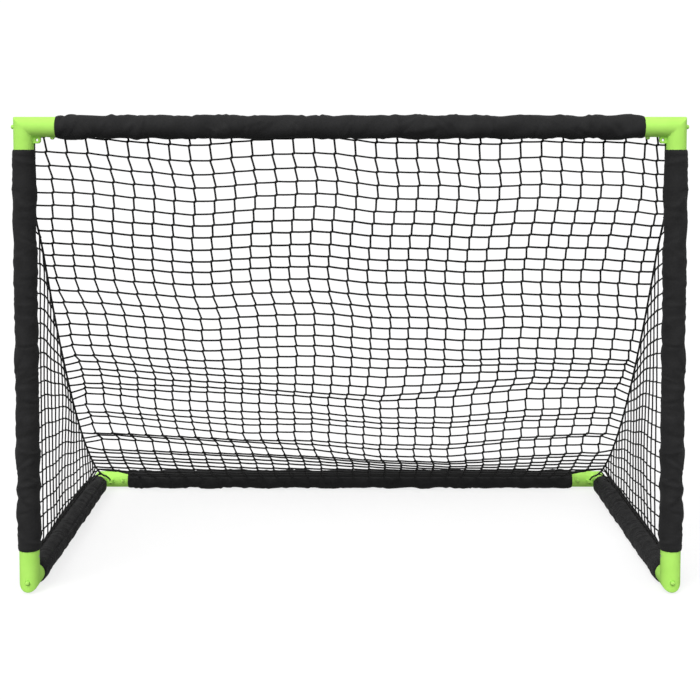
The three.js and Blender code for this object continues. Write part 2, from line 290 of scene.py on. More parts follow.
def grid_faces(rows, columns, ring=False):
    """Quads of a grid whose columns close round. ring says that its rows close up too."""
    down = np.arange(rows if ring else rows - 1)
    across = np.arange(columns)
    a, b = np.meshgrid(down, across, indexing="ij")
    below, beside = (a + 1) % rows, (b + 1) % columns
    corners = [a * columns + b, a * columns + beside, below * columns + beside, below * columns + b]
    return np.stack(corners, -1).reshape(-1, 4)


def tube_faces(rows, sides):
    """Faces of a tube, with a flat cap on both ends."""
    last = (rows - 1) * sides
    caps = [list(range(sides))[::-1], list(range(last, last + sides))]
    return grid_faces(rows, sides).tolist() + caps


class Shape:
    """Points in millimetres, faces, and a three-number place stored at every point."""

    def __init__(self):
        self.points, self.faces, self.places, self.count = [], [], [], 0

    def add(self, points, faces, places=None):
        points = np.asarray(points, float).reshape(-1, 3)
        self.points.append(points)
        self.faces += [[int(i) + self.count for i in face] for face in faces]
        self.places.append(np.zeros_like(points) if places is None else places)
        self.count += len(points)

    def build(self, name, material, place_name=None, mirror=False, smooth_angle=None):
        points = np.vstack(self.points)
        if mirror:
            points = points * (-1.0, 1.0, 1.0)
        mesh = bpy.data.meshes.new(name)
        mesh.from_pydata(to_row(points).tolist(), [], self.faces)
        if mirror:
            mesh.flip_normals()
        if place_name:
            attribute = mesh.attributes.new(place_name, "FLOAT_VECTOR", "POINT")
            attribute.data.foreach_set("vector", np.vstack(self.places).astype(np.float32).ravel())
        mesh.materials.append(material)
        mesh.shade_smooth()
        if smooth_angle:
            mesh.set_sharp_from_angle(angle=math.radians(smooth_angle))
        return new_object(name, mesh)


def sweep(shape, path, reference, radius, sides=6, capped=True, strands=None):
    """A round cord along a path. reference is a direction that the path never follows, and strands
    is how many strands show, the length of one twist and how deep the grooves are."""
    path = np.asarray(path, float)
    tangent = unit(np.gradient(path, axis=0))
    normal = unit(np.cross(np.cross(tangent, reference), tangent))
    side = np.cross(tangent, normal)
    angle = angles(sides)
    along = np.r_[0.0, np.cumsum(np.linalg.norm(np.diff(path, axis=0), axis=1))]
    size = np.full((len(path), sides), float(radius))
    if strands:
        number, pitch, depth = strands
        phase = number * (angle[None] - 2 * math.pi * along[:, None] / pitch) / 2
        size += depth * (np.abs(np.cos(phase)) - 0.6)
    points = path[:, None] + size[..., None] * on_circle(angle, normal[:, None], side[:, None])
    faces = tube_faces(len(path), sides) if capped else grid_faces(len(path), sides)
    shape.add(points, faces, triples(along[:, None], np.arange(sides) / sides, 0.0))


def blob(shape, centre, axes, rings=3, sides=6):
    """A small closed pebble. axes are its three half-axes, as rows."""
    polar = np.linspace(0, math.pi, rings + 2)[1:-1, None]
    angle = angles(sides)
    ball = triples(np.cos(polar), np.sin(polar) * np.cos(angle), np.sin(polar) * np.sin(angle))
    ball = np.vstack([ball, [[1, 0, 0], [-1, 0, 0]]])
    faces = grid_faces(rings, sides)[:, ::-1].tolist()
    last, top, bottom = (rings - 1) * sides, rings * sides, rings * sides + 1
    for i in range(sides):
        beside = (i + 1) % sides
        faces.append([top, i, beside])
        faces.append([bottom, last + beside, last + i])
    shape.add(centre + ball @ np.array(axes, float), faces, ball * (2.0, 0.3, 0.0))


# ---- corner elbows ----
# Each is drawn with its corner at the origin, its long arm along +X and its short arm along -Z.
# Each is then turned and moved to its place.
AT_TOP = (((1, 0, 0), (0, 1, 0), (0, 0, 1)), (-POST_X, 0, CROSSBAR_Z))
AT_REAR = (((1, 0, 0), (0, 0, 1), (0, -1, 0)), (-POST_X, REAR_Y, BAR_Z))
AT_FOOT = (((0, 1, 0), (1, 0, 0), (0, 0, -1)), (-POST_X, 0, BAR_Z))
ELBOW_SIDES = 96


def elbow_circle(radius):
    """How far each point of an elbow's ring lies sideways and outwards."""
    angle = angles(ELBOW_SIDES)
    return radius * np.sin(angle), radius * np.cos(angle)


def elbow_rings(radius, long_arm, short_arm, soft):
    """Rings of a round bar folded sharply through a right angle, from its long end to its short."""
    side, outward = elbow_circle(radius)
    start, end = soft - outward, outward - soft
    return ([triples(start + share * (long_arm - start), side, outward)
             for share in np.linspace(1, 0, 15)[:-1]]
            + [triples(-outward + soft * (1 - math.sin(bend)), side,
                       outward - soft * (1 - math.cos(bend)))
               for bend in np.linspace(0, math.pi / 2, 6)]
            + [triples(-outward, side, end + share * (-short_arm - end))
               for share in np.linspace(0, 1, 13)[1:]])


def rim_rings(at_long_end, reach):
    """Rings that round over an elbow's mouth, from its outer wall to its bore."""
    rings = []
    for radius, place in ((ELBOW_RADIUS - 0.55, reach - 0.15), (ELBOW_RADIUS - 1.1, reach),
                          (SOCKET_RADIUS + 0.6, reach), (SOCKET_RADIUS + 0.15, reach - 0.2)):
        side, outward = elbow_circle(radius)
        rings.append(triples(place, side, outward) if at_long_end else triples(-outward, side, -place))
    return rings


def raw_object(points, faces):
    """A plain object in local millimetres, to be used in a boolean and thrown away."""
    mesh = bpy.data.meshes.new("tool")
    mesh.from_pydata(np.asarray(points, float).tolist(), [], [list(f) for f in faces])
    return new_object("tool", mesh)


def plain_elbow(short_arm):
    """An elbow of two round sockets, without its holes, lug or slot."""
    rings = (elbow_rings(ELBOW_RADIUS, LONG_ARM - 0.6, short_arm - 0.6, 1.6)
             + rim_rings(False, short_arm)
             + elbow_rings(SOCKET_RADIUS, LONG_ARM - 0.7, short_arm - 0.7, 1.0)[::-1]
             + rim_rings(True, LONG_ARM)[::-1])
    return raw_object(np.vstack(rings), grid_faces(len(rings), ELBOW_SIDES, ring=True))


def combine(body, tool, operation="DIFFERENCE"):
    """Cut the tool out of the body, or join it on, and throw the tool away."""
    step = body.modifiers.new("step", "BOOLEAN")
    step.object = tool
    step.operation = operation
    step.solver = "EXACT"
    bpy.context.view_layer.update()
    done = body.evaluated_get(bpy.context.evaluated_depsgraph_get())
    mesh = bpy.data.meshes.new_from_object(done)
    body.modifiers.clear()
    body.data = mesh
    bpy.data.objects.remove(tool)


def turned(start, axis, beside, profile, sides=40):
    """(points, faces) of a closed turned solid. profile lists (distance along the axis, radius), and
    beside is a direction that the axis never follows."""
    axis = unit(axis)
    across = unit(np.cross(axis, beside))
    circle = on_circle(angles(sides), across, np.cross(axis, across))
    points = np.vstack([start + d * axis + r * circle for d, r in profile])
    return points, tube_faces(len(profile), sides)


def button_hole_tool(centre, direction):
    mouth = BUTTON_HOLE_RADIUS + 1.0
    chamfer = [(11.0, BUTTON_HOLE_RADIUS), (ELBOW_RADIUS - 0.7, BUTTON_HOLE_RADIUS),
               (ELBOW_RADIUS + 0.3, mouth), (ELBOW_RADIUS + 6, mouth)]
    return raw_object(*turned(centre, direction, (0, 1, 0), chamfer))


def rounded(x, y, radius, begin, steps):
    """Points on a quarter circle about (x, y), from the angle begin on."""
    turns = [begin + step / steps * math.pi / 2 for step in range(steps + 1)]
    return [(x + radius * math.cos(turn), y + radius * math.sin(turn)) for turn in turns]


def lug_tool():
    """The eyelet lug in the inner corner: a rounded plate with soft edges."""
    reach_x, reach_z, corner, half = 30.6, -29.4, 5.0, 3.5
    root = ELBOW_RADIUS - 2
    outline = [(root, -root), (root, reach_z)]
    outline += rounded(reach_x - corner, reach_z + corner, corner, -math.pi / 2, 8)
    outline.append((reach_x, -root))
    mesh = bmesh.new()
    near = [mesh.verts.new((x, -half, z)) for x, z in outline]
    far = [mesh.verts.new((x, half, z)) for x, z in outline]
    mesh.faces.new(near)
    mesh.faces.new(far[::-1])
    for i in range(len(outline)):
        beside = (i + 1) % len(outline)
        mesh.faces.new([near[i], far[i], far[beside], near[beside]])
    bmesh.ops.recalc_face_normals(mesh, faces=mesh.faces)
    rims = []
    for edge in mesh.edges:
        a, b = (vertex.co for vertex in edge.verts)
        if (abs(a.y - b.y) < 0.1 and max(abs(a.x - root), abs(b.x - root)) > 0.5
                and max(abs(a.z + root), abs(b.z + root)) > 0.5):
            rims.append(edge)
    bmesh.ops.bevel(mesh, geom=rims, offset=1.1, segments=3, affect="EDGES", profile=0.5)
    data = bpy.data.meshes.new("tool")
    mesh.to_mesh(data)
    mesh.free()
    return new_object("tool", data)


def slot_tool():
    """The foot's rear slot, which the post folds back through, with a rounded floor."""
    half, floor, top, soft = SOCKET_RADIUS, -SLOT_FLOOR, -(FOOT_ARM + 3), 2.2
    outline = [(-half, top), (half, top), *rounded(half - soft, floor - soft, soft, 0.0, 6),
               *rounded(soft - half, floor - soft, soft, math.pi / 2, 6)]
    count = len(outline)
    points = [(0.0, y, z) for y, z in outline] + [(ELBOW_RADIUS + 4, y, z) for y, z in outline]
    faces = [list(range(count))[::-1], list(range(count, 2 * count))]
    faces += [[i, (i + 1) % count, count + (i + 1) % count, count + i] for i in range(count)]
    return raw_object(points, faces)


def finished_elbows(kind, short_arm, corner, body, lug):
    """Both elbows of a kind, with a lug for the net or else with the slot and pin hole of a foot."""
    work = plain_elbow(short_arm)
    if lug:
        combine(work, lug_tool(), "UNION")
        eyelet = [(-6, 3.2), (-3.6, 3.2), (-2.8, 2.4), (2.8, 2.4), (3.6, 3.2), (6, 3.2)]
        combine(work, raw_object(*turned((24.0, 0, -23.4), (0, 1, 0), (1, 0, 0), eyelet, 28)))
    else:
        combine(work, slot_tool())
        hole = [(-25, PIN_HOLE_RADIUS), (25, PIN_HOLE_RADIUS)]
        combine(work, raw_object(*turned((0, 0, -PIVOT_RISE), (0, 1, 0), (1, 0, 0), hole, 32)))
    combine(work, button_hole_tool((BUTTON_FROM_CORNER, 0, 0), (0, 0, -1)))
    combine(work, button_hole_tool((0, 0, 0), (-1, 0, 0)))
    points = np.array([v.co for v in work.data.vertices], float)
    faces = [list(p.vertices) for p in work.data.polygons]
    bpy.data.objects.remove(work)
    turn, move = corner
    if np.linalg.det(turn) < 0:
        faces = [face[::-1] for face in faces]
    whole = Shape()
    whole.add(points @ np.transpose(turn) + move, faces)
    for mirror, side in SIDES:
        piece = whole.build(f"{side}_{kind}_corner_elbow", LIME, mirror=mirror, smooth_angle=33)
        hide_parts(f"{side}_{kind}_elbow")
        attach(piece, body)


finished_elbows("top", SHORT_ARM, AT_TOP, "front_frame", True)
finished_elbows("rear", SHORT_ARM, AT_REAR, "base_frame", True)
finished_elbows("foot", FOOT_ARM, AT_FOOT, "base_frame", False)


# ---- push buttons ----
def button_shape(centre, direction, tip):
    """A flanged, domed button standing up from the tube axis."""
    dome = 2.6
    profile = [(9.8, 0.05), (9.8, 5.3), (10.0, 5.5), (11.1, 5.5), (11.3, 5.3), (11.35, 4.2),
               (11.6, BUTTON_RADIUS)]
    for turn in np.linspace(0, math.pi / 2, 9):
        profile.append((tip - dome + dome * math.sin(turn), BUTTON_RADIUS * math.cos(turn) + 0.02))
    shape = Shape()
    shape.add(*turned(centre, direction, (0.3, 0.9, 0.4), profile))
    return shape


BUTTONS = (
    ("crossbar", (BUTTON_FROM_CORNER - POST_X, 0, CROSSBAR_Z), (0, 0, -1), BUTTON_TIP),
    ("post", (-POST_X, 0, CROSSBAR_Z), (-1, 0, 0), BUTTON_TIP),
    ("rear_bar", (BUTTON_FROM_CORNER - POST_X, REAR_Y, BAR_Z), (0, -1, 0), BUTTON_TIP),
    ("side_bar_rear", (-POST_X, REAR_Y, BAR_Z), (-1, 0, 0), BUTTON_TIP),
    ("side_bar_front", (-POST_X, BUTTON_FROM_CORNER, BAR_Z), (0, 0, 1), HIDDEN_BUTTON_TIP),
    ("fold_release", (-POST_X, 0, BAR_Z), (0, -1, 0), BUTTON_TIP),
)
for button_name, centre, direction, tip in BUTTONS:
    shape = button_shape(centre, direction, tip)
    for mirror, side in SIDES:
        node = f"{side}_{button_name}_button"
        piece = shape.build(f"{node}_cap", BUTTON_LIME, mirror=mirror, smooth_angle=40)
        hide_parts(node)
        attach(piece, node)


# ---- leaf springs ----
# Each leaf spring is a copy of its CAD part, in spring steel, left in the shape the CAD part has.
for button_name, centre, direction, tip in BUTTONS:
    for mirror, side in SIDES:
        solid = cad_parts[f"{side}_{button_name}_spring"]
        piece = new_object(f"{side}_{button_name}_leaf", solid.data.copy())
        set_material(piece, SPRING)
        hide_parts(f"{side}_{button_name}_spring")
        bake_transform(piece)


# ---- fabric sleeves ----
SLEEVE_SIDES = 84
SLEEVE_STEP = 2.4
PLAIN_END = 12.0
SHOULDER = 9.0
LEAST_RADIUS, MOST_RADIUS = 18.9, 23.4
# Height, distance beside the seam and width of the groove that the net comes out of and of the ridge
# next to it.
SEAM_FOLDS = ((-2.3, 0.0, 2.1), (1.1, 5.0, 2.6))
HEM_FOLD_FROM_END = 12.5
RESTING_HEIGHT = 0.15
PRESSED_REACH = 21.5
# Half-length, half-width and half-height of a stitch, and how far its middle stands off the cloth.
STITCH = (1.45, 0.4, 0.32)
STITCH_LIFT = 0.05
STITCH_PITCH = 4.2
STITCHES_ROUND = 31
STITCHES_FROM_END = 7.5
STITCHES_FROM_SEAM = 4.4


def creases(length, seed, along, around):
    """Soft folds of a loose sleeve, in millimetres, over a grid of places along and round it."""
    random = np.random.default_rng(seed)
    field = np.zeros((len(along), len(around)))
    u, v = along[:, None], around[None]
    for _ in range(16):
        wave = random.uniform(45, 170)
        turns = random.integers(0, 4)
        field += random.uniform(0.08, 0.3) * np.cos(
            2 * math.pi * u / wave + turns * v + random.uniform(0, 2 * math.pi))
    for _ in range(int(length / 5.5)):
        place, turn = random.uniform(0, length), random.uniform(-math.pi, math.pi)
        lean = random.normal(0.0, 0.55)
        span, width = random.uniform(10, 34), random.uniform(2.2, 5.5)
        height = random.uniform(0.35, 1.0) * random.choice([-1.0, 1.0, 1.0])
        arc = SLEEVE_RADIUS * ((v - turn + math.pi) % (2 * math.pi) - math.pi)
        across = (u - place) * math.cos(lean) + arc * math.sin(lean)
        down = -(u - place) * math.sin(lean) + arc * math.cos(lean)
        ridge = np.exp(-(across / width) ** 2) - 0.45 * np.exp(-((across - 1.9 * width) / width) ** 2)
        field += height * ridge * np.exp(-(down / span) ** 2)
    fade = np.clip(np.minimum(u, length - u) / PLAIN_END, 0, 1)
    return field * (0.35 + 0.65 * fade * fade * (3 - 2 * fade))


def sleeve(name, kind, start, end, facing, seam, seed, body, slack, swell=(), rests=False,
           prefixes=("",), pressed=(0, 0, 0)):
    """A fabric tube over foam from start to end. facing is the direction of angle 0, and seam is the
    angle of the seam that the net comes out of. slack lists (place along, strength of creases) and
    swell lists (place along, width, height). pressed is the side that another bar folds against."""
    start, end, facing = (np.asarray(a, float) for a in (start, end, facing))
    length = np.linalg.norm(end - start)
    axis = (end - start) / length
    side = np.cross(axis, facing)
    along = np.linspace(0, length, int(length / SLEEVE_STEP) + 1)
    around = seam + angles(SLEEVE_SIDES)
    loose = np.interp(along, *zip(*slack))[:, None]
    radius = SLEEVE_RADIUS + loose * creases(length, seed, along, around)
    for place, width, height in swell:
        radius += height * np.exp(-((along - place) / width) ** 2)[:, None]
    from_seam = SLEEVE_RADIUS * ((around - seam + math.pi) % (2 * math.pi) - math.pi)[None]
    pucker = np.sin(along * 0.62 + 1.3 * np.sin(along * 0.11 + seed))[:, None]
    for height, beside, width in SEAM_FOLDS:
        radius += height * np.exp(-((from_seam - beside) / width) ** 2)
    radius += 0.4 * pucker * np.exp(-((from_seam - 6.0) / 7.0) ** 2)
    from_end = np.minimum(along, length - along)[:, None]
    puckers = 0.35 * np.sin(11 * around[None] + seed) + 0.25 * np.sin(17 * around[None] + 2 * seed)
    radius = np.clip(radius, LEAST_RADIUS, MOST_RADIUS)
    hem = ELBOW_RADIUS + FABRIC + 0.15 + 0.3 * puckers
    shoulder = np.sqrt(np.clip(1 - (1 - np.clip(from_end / SHOULDER, 0, 1)) ** 2, 0, 1))
    radius = hem + (radius - hem) * shoulder
    radius -= 0.45 * np.exp(-((from_end - HEM_FOLD_FROM_END) / 1.6) ** 2)
    # The cloth turns round a lip at both ends and runs back along the foam as an inner wall.
    wall = np.maximum(radius - FABRIC, ELBOW_RADIUS + 0.25)
    lip = np.linspace(0, math.pi, 7)[1:-1]
    bulge, share = FABRIC / 2 * np.sin(lip), (1 - np.cos(lip[:, None])) / 2
    places = np.r_[along, length + bulge, along[::-1], -bulge]
    sizes = np.vstack([radius, radius[-1] + (wall[-1] - radius[-1]) * share,
                       wall[::-1], wall[0] + (radius[0] - wall[0]) * share])
    circle = on_circle(around, facing, side)
    points = start + places[:, None, None] * axis + sizes[..., None] * circle[None]
    if rests:
        points[..., 2] = np.maximum(points[..., 2], RESTING_HEIGHT)
    beyond = np.maximum((points - start) @ np.array(pressed, float) - PRESSED_REACH, 0)
    points -= beyond[..., None] * np.array(pressed, float)
    shape = Shape()
    shape.add(points, grid_faces(len(places), SLEEVE_SIDES, ring=True),
              triples(places[:, None], SLEEVE_RADIUS * (around - seam), 0.0))
    stitches = Shape()

    def stitch(place, angle, lengthwise):
        column = (angle - seam) / (2 * math.pi) * SLEEVE_SIDES % SLEEVE_SIDES
        a, b = int(column), (int(column) + 1) % SLEEVE_SIDES
        share = column - int(column)
        reach = (np.interp(place, along, radius[:, a]) * (1 - share)
                 + np.interp(place, along, radius[:, b]) * share + STITCH_LIFT)
        out = math.cos(angle) * facing + math.sin(angle) * side
        across = math.sin(angle) * -facing + math.cos(angle) * side
        directions = (axis, across, out) if lengthwise else (across, axis, out)
        blob(stitches, start + place * axis + reach * out,
             [size * direction for size, direction in zip(STITCH, directions)])

    for place in np.arange(6.0, length - 5.0, STITCH_PITCH):
        stitch(place, seam + STITCHES_FROM_SEAM / SLEEVE_RADIUS, True)
    for place in (STITCHES_FROM_END, length - STITCHES_FROM_END):
        for angle in np.arange(0, 2 * math.pi, 2 * math.pi / STITCHES_ROUND):
            stitch(place, angle, False)
    for prefix in prefixes:
        mirror = prefix == "right_"
        piece = shape.build(f"{prefix}{name}", CLOTH, "cloth", mirror=mirror)
        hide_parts(f"{prefix}{kind}_sleeve", f"{prefix}{kind}_foam")
        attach(piece, body)
        sewing = stitches.build(f"{prefix}{name}_stitching", THREAD, "cord", mirror=mirror)
        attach(sewing, body)


sleeve("crossbar_cover", "crossbar", (-523, 0, CROSSBAR_Z), (523, 0, CROSSBAR_Z), (0, 0, 1),
       -math.atan2(14.0, -14.5), 11, "front_frame",
       slack=((0, 1.9), (200, 1.5), (850, 1.4), (1046, 1.9)),
       swell=((46, 24, 0.9), (998, 22, 0.9), (250, 60, 0.4), (640, 80, 0.3)))
sleeve("rear_bar_cover", "rear", (-518, REAR_Y, BAR_Z), (518, REAR_Y, BAR_Z), (0, 0, 1),
       math.atan2(20.0, 12.5), 23, "base_frame", slack=((0, 1.9),), rests=True)
sleeve("post_cover", "post", (-POST_X, 0, 78.7), (-POST_X, 0, 802.6), (1, 0, 0),
       math.atan2(13.5, 19.0), 37, "front_frame",
       slack=((0, 2.4), (140, 2.0), (260, 1.3), (724, 1.2)), prefixes=("left_", "right_"),
       pressed=(0, 1, 0))
sleeve("side_bar_cover", "side", (-POST_X, 40, BAR_Z), (-POST_X, 663, BAR_Z), (0, 0, 1),
       math.atan2(19.0, 13.5), 53, "base_frame", slack=((0, 1.4),), rests=True,
       prefixes=("left_", "right_"), pressed=(0, 0, 1))


# ---- net ----
# The back net seen from the side, as rows of Y and Z: straight down, then sagging to the rear.
UPRIGHT = np.stack([np.full(100, UPPER_CORNER[0]),
                    np.linspace(NET_TOP, UPPER_CORNER[1] + 1.5, 100)], -1)
SAGGING = bezier(np.linspace(0, 1, 601)[:, None], UPPER_CORNER, NET_PULL, NET_REAR)
PROFILE = np.vstack([UPRIGHT, SAGGING])
SAG = PROFILE[99:]
SLOPE = np.r_[0.0, np.cumsum(np.hypot(*np.diff(PROFILE, axis=0).T))]
SLOPE_LENGTH = SLOPE[-1]
LAST_PLACE = SLOPE_LENGTH - 8
CORNER_START = 968.0
MOUTH_X = 516.0

# The upper rows: how far down the slope they lie, how far each wanders sideways, and how each column
# droops, in millimetres.
UPPER_ROWS = [8.9, 36.9, 62.0, 85.9, 109.8, 133.0, 156.9, 183.7, 212.4, 239.5, 264.2, 293.6, 324.4,
              353.8, 382.0, 410.5, 439.7, 468.0, 496.8]
UPPER = len(UPPER_ROWS)
SIDEWAYS = [7, 6, 9, 10.7, 9.2, 5.8, 2.3, -1.1, -3.6, -5.4, -7.1, -7.8, -6.2, -2, 1.3, 1.5, -0.2, -0.4,
            0.5]
COLUMN_DROOP = [-9.4, -8.5, -7, -3.5, -0.1, 1.8, 5.3, 7.3, 5.5, 1.6, -1.9, -4.3, -6, -7.5, -6.3, -2.1,
                1.8, 2.6, 2, 2, 3.8, 5.5, 4.4, 1.4, -0.3, 0.3, 1.2, 1.1, 1.1, 3.5, 6.3]
COLUMN_PITCH = 36.15
COLUMNS = 31
MIDDLE_X = 3.2
OUTERMOST_X = 552.0

# The lower rows lie slack and rippled. These tables have a place across for every fourth column.
LOWER_START = 525.6
LOWER_PITCH = 27.6
LOWER_ROWS = 23
ACROSS = np.arange(-14, 15, 4)
SHIFT_ROWS = [0, 3, 6, 9, 12, 15, 17]
LOWER_SHIFT = [
    (-19, -3, 4, -4, 1, -7, -14, -12),
    (-39, -26, -18, -10, 2, -13, -34, -35),
    (-52, -34, -25, -22, -5, -10, -36, -45),
    (-58, -40, -24, -25, -5, -6, -38, -52),
    (-64, -49, -35, -24, 4, 7, -31, -51),
    (-71, -58, -50, -37, -14, -4, -29, -52),
    (-85, -66, -52, -45, -34, -25, -37, -60),
]
LOWER_HEIGHT = [
    (0.7, -0.3, 0.4, 0.9, 0.2, -1, 0.1, -0.3),
    (-1.3, 0.8, -0.2, -0.6, 0.8, 2.3, 0.1, 0.8),
    (0.8, -1, -1.7, -2.4, -3, -1.8, -0.7, -0.8),
    (-2.9, 1, 0.1, -4.2, -3.3, 0.2, 0.9, 0.3),
    (3.9, 6.3, 8.2, 4.2, 2.9, 5.9, 8.3, 6.3),
    (6.5, 3.3, 2, 2.4, 1.2, 0.6, 2.8, 3.6),
    (-2.3, -4.6, -1.8, -2.3, -3.3, -5.9, -5.3, -4.8),
    (-4, -1.6, -1.2, 0.2, 1, -0.1, -3.3, -1.8),
    (3.2, 2.3, 1.7, 4.6, 5.2, 5.2, 3.7, 2.4),
    (2.2, 0.7, -1.5, 1.8, 2, 0.6, 2, 1.1),
    (-6.8, -5.1, -4.9, -4.6, -3.2, -2.2, -3.5, -2.9),
    (3.1, 2.2, 2.5, 0.6, 1.1, 2.8, 5.3, 6.3),
    (6.6, 4.7, 1.9, 1.2, -2.5, -1.2, 1.7, 1.5),
    (-5.9, -4.7, -3.7, -4.5, -3.7, -4.9, -5.7, -5.7),
    (-1.2, 0.8, 1.1, -0.1, -0.8, -1.3, -0.8, -0.9),
    (-0.9, -0.7, 1.1, 1, 0.4, -0.1, -0.3, -0.1),
    (0.1, 0.7, 1.7, 1.5, 0.3, -0.1, 0.3, 0.5),
    (0.1, -0.3, -1, -0.9, -0.2, 0.1, -0.1, -0.3),
]
DRIFT_FROM = 440.0
DRIFT_STEP = 40.0
LOWER_DRIFT = [
    (7, 5, 8, 9, 5, 2, 4, 4, 8, 13, 12, 10, 10), (1, 1, 1, 6, 0, -4, -4, -4, -1, 8, 9, 9, 10),
    (-2, -1, -2, 0, -4, -7, -9, -9, -11, -4, 3, 5, 8),
    (-2, -1, -2, -4, -7, -12, -9, -10, -13, -12, -6, 1, 5),
    (-2, 1, 0, -3, -7, -15, -13, -11, -10, -12, -13, -8, 2),
    (-1, 0, 3, 1, -6, -10, -10, -10, -10, -10, -11, -7, 1),
    (-2, -2, 2, 0, -6, -8, -6, -7, -5, -5, -3, 0, 1),
    (-7, -5, -2, -5, -10, -9, -10, -8, -12, -16, -12, -15, -16),
]


def on_slope(x, down, height=0.0):
    """(point, outward normal) on the back net, standing height off its plain slope."""
    (y1, z1), (y, z), (y2, z2) = ([np.interp(down + step, SLOPE, line) for line in PROFILE.T]
                                  for step in (-4.0, 0.0, 4.0))
    normal = unit([0.0, z1 - z2, y2 - y1])
    return np.array([x, y, z + corner_lift(x, down)]) + height * normal, normal


def smooth(value):
    value = min(1.0, max(0.0, value))
    return value * value * (3 - 2 * value)


def edge_x(down):
    """Distance of an edge cord from the middle. It is tucked further out behind the post sleeve."""
    return NET_X + 4.0 * (1 - smooth((down - 120) / 110))


def past_corner(down):
    """Share of the way from the edge cord across the rear corner to the rear sleeve's mouth."""
    return float(np.clip((down - CORNER_START) / (SLOPE_LENGTH - CORNER_START), 0, 1))


def back_edge_x(down):
    """Distance of the back net's edge from the middle."""
    return edge_x(down) + (MOUTH_X - edge_x(down)) * past_corner(down)


def corner_lift(x, down):
    """The net's rear corner is held up by the cord across it, clear of the elbow."""
    share = past_corner(down)
    near = smooth(1 - (back_edge_x(down) - abs(x)) / 55.0)
    return near * (7.0 * share + 6.5 * math.sin(math.pi * share) + 2.0 * smooth((down - 900) / 60))


def lower_knot(row, across):
    """(place down the slope, height off it, drift sideways) of a knot of the slack lower net."""
    shifts = [np.interp(row, SHIFT_ROWS, column) for column in np.transpose(LOWER_SHIFT)]
    tabled = min(row, len(LOWER_HEIGHT) - 1)
    down = LOWER_START + LOWER_PITCH * tabled + np.interp(across, ACROSS, shifts)
    height = np.interp(across, ACROSS, LOWER_HEIGHT[tabled])
    if row > tabled:
        down += (row - tabled) / (LOWER_ROWS - tabled - 0.4) * (SLOPE_LENGTH - 4 - down)
        height = 0.0
    place = (down - DRIFT_FROM) / DRIFT_STEP
    drifts = [np.interp(place, np.arange(len(drift)), drift) for drift in LOWER_DRIFT]
    return down, height, np.interp(across, ACROSS, drifts)


def knots_and_normals():
    """Knots and normals of the back net, with each knot's place down the slope."""
    random = np.random.default_rng(5)
    points = np.zeros((UPPER + LOWER_ROWS, COLUMNS, 3))
    normals = np.zeros_like(points)
    places = np.zeros(points.shape[:2])
    for j in range(len(points)):
        for i in range(COLUMNS):
            across = i - COLUMNS // 2
            x = COLUMN_PITCH * across + MIDDLE_X
            if j < UPPER:
                # The topmost rows are pulled a little wider.
                x = x * (1 + 0.03 * max(0.0, 1 - j / 5.5)) + SIDEWAYS[j]
                place, height = UPPER_ROWS[j] + COLUMN_DROOP[i], 0.0
            else:
                place, height, drift = lower_knot(j - UPPER, across)
                x += drift
            place = min(place + random.normal(0, 0.3), LAST_PLACE)
            x += random.normal(0, 0.35)
            x = min(OUTERMOST_X, max(-OUTERMOST_X, x))
            points[j, i], normals[j, i] = on_slope(x, place, height)
            places[j, i] = place
    return points, normals, places


def cord_path(stops, step, bow=0.0):
    """Nearly straight runs between knots, each with a slight bow. A cord comes into a knot on one
    side and leaves it on the other, step away, as a knotted net's cords do."""
    half = np.array(step) / 2
    path = []
    for i, (a, b) in enumerate(zip(stops[:-1], stops[1:])):
        start = a if i == 0 else a + half
        end = b if i == len(stops) - 2 else b - half
        for share in (0.0, 0.08, 0.36, 0.64, 0.92, 1.0):
            path.append(start + (end - start) * share - (0.0, 0.0, bow * 4 * share * (1 - share)))
    return np.array(path)


STRAND_RADIUS = 0.95
WRAP_TURN = angles(8)
STRAND_TURN = angles(5)


def knot(shape, centre, along, normal):
    """A cord knot: a tight lump with one strand laid over it."""
    across = unit(np.cross(normal, along))
    along = unit(np.cross(across, normal))
    blob(shape, centre, [2.8 * along, 2.4 * across, 2.0 * normal])
    lean = unit(along + 0.9 * across)
    wrap = centre + on_circle(WRAP_TURN, 2.2 * unit(np.cross(lean, normal)), 1.9 * normal)
    points = wrap[:, None] + STRAND_RADIUS * on_circle(STRAND_TURN, unit(wrap - centre)[:, None], lean)
    shape.add(points, grid_faces(8, 5, ring=True),
              triples(2.0 * WRAP_TURN[:, None], STRAND_TURN / (2 * math.pi), 0.0))


# How far the cords of one direction lie above the net's surface, and those of the other below it.
OVER = 0.5
ROW_END_DROP = 11.0
COLUMN_STEP = (-3.4, 0.0, 0.0)
ROW_STEP = (0.0, -0.6, 1.6)
SIDE_ROW_STEP = (0.0, 0.0, 1.6)
SIDE_COLUMN_STEP = (0.0, -2.4, 0.0)


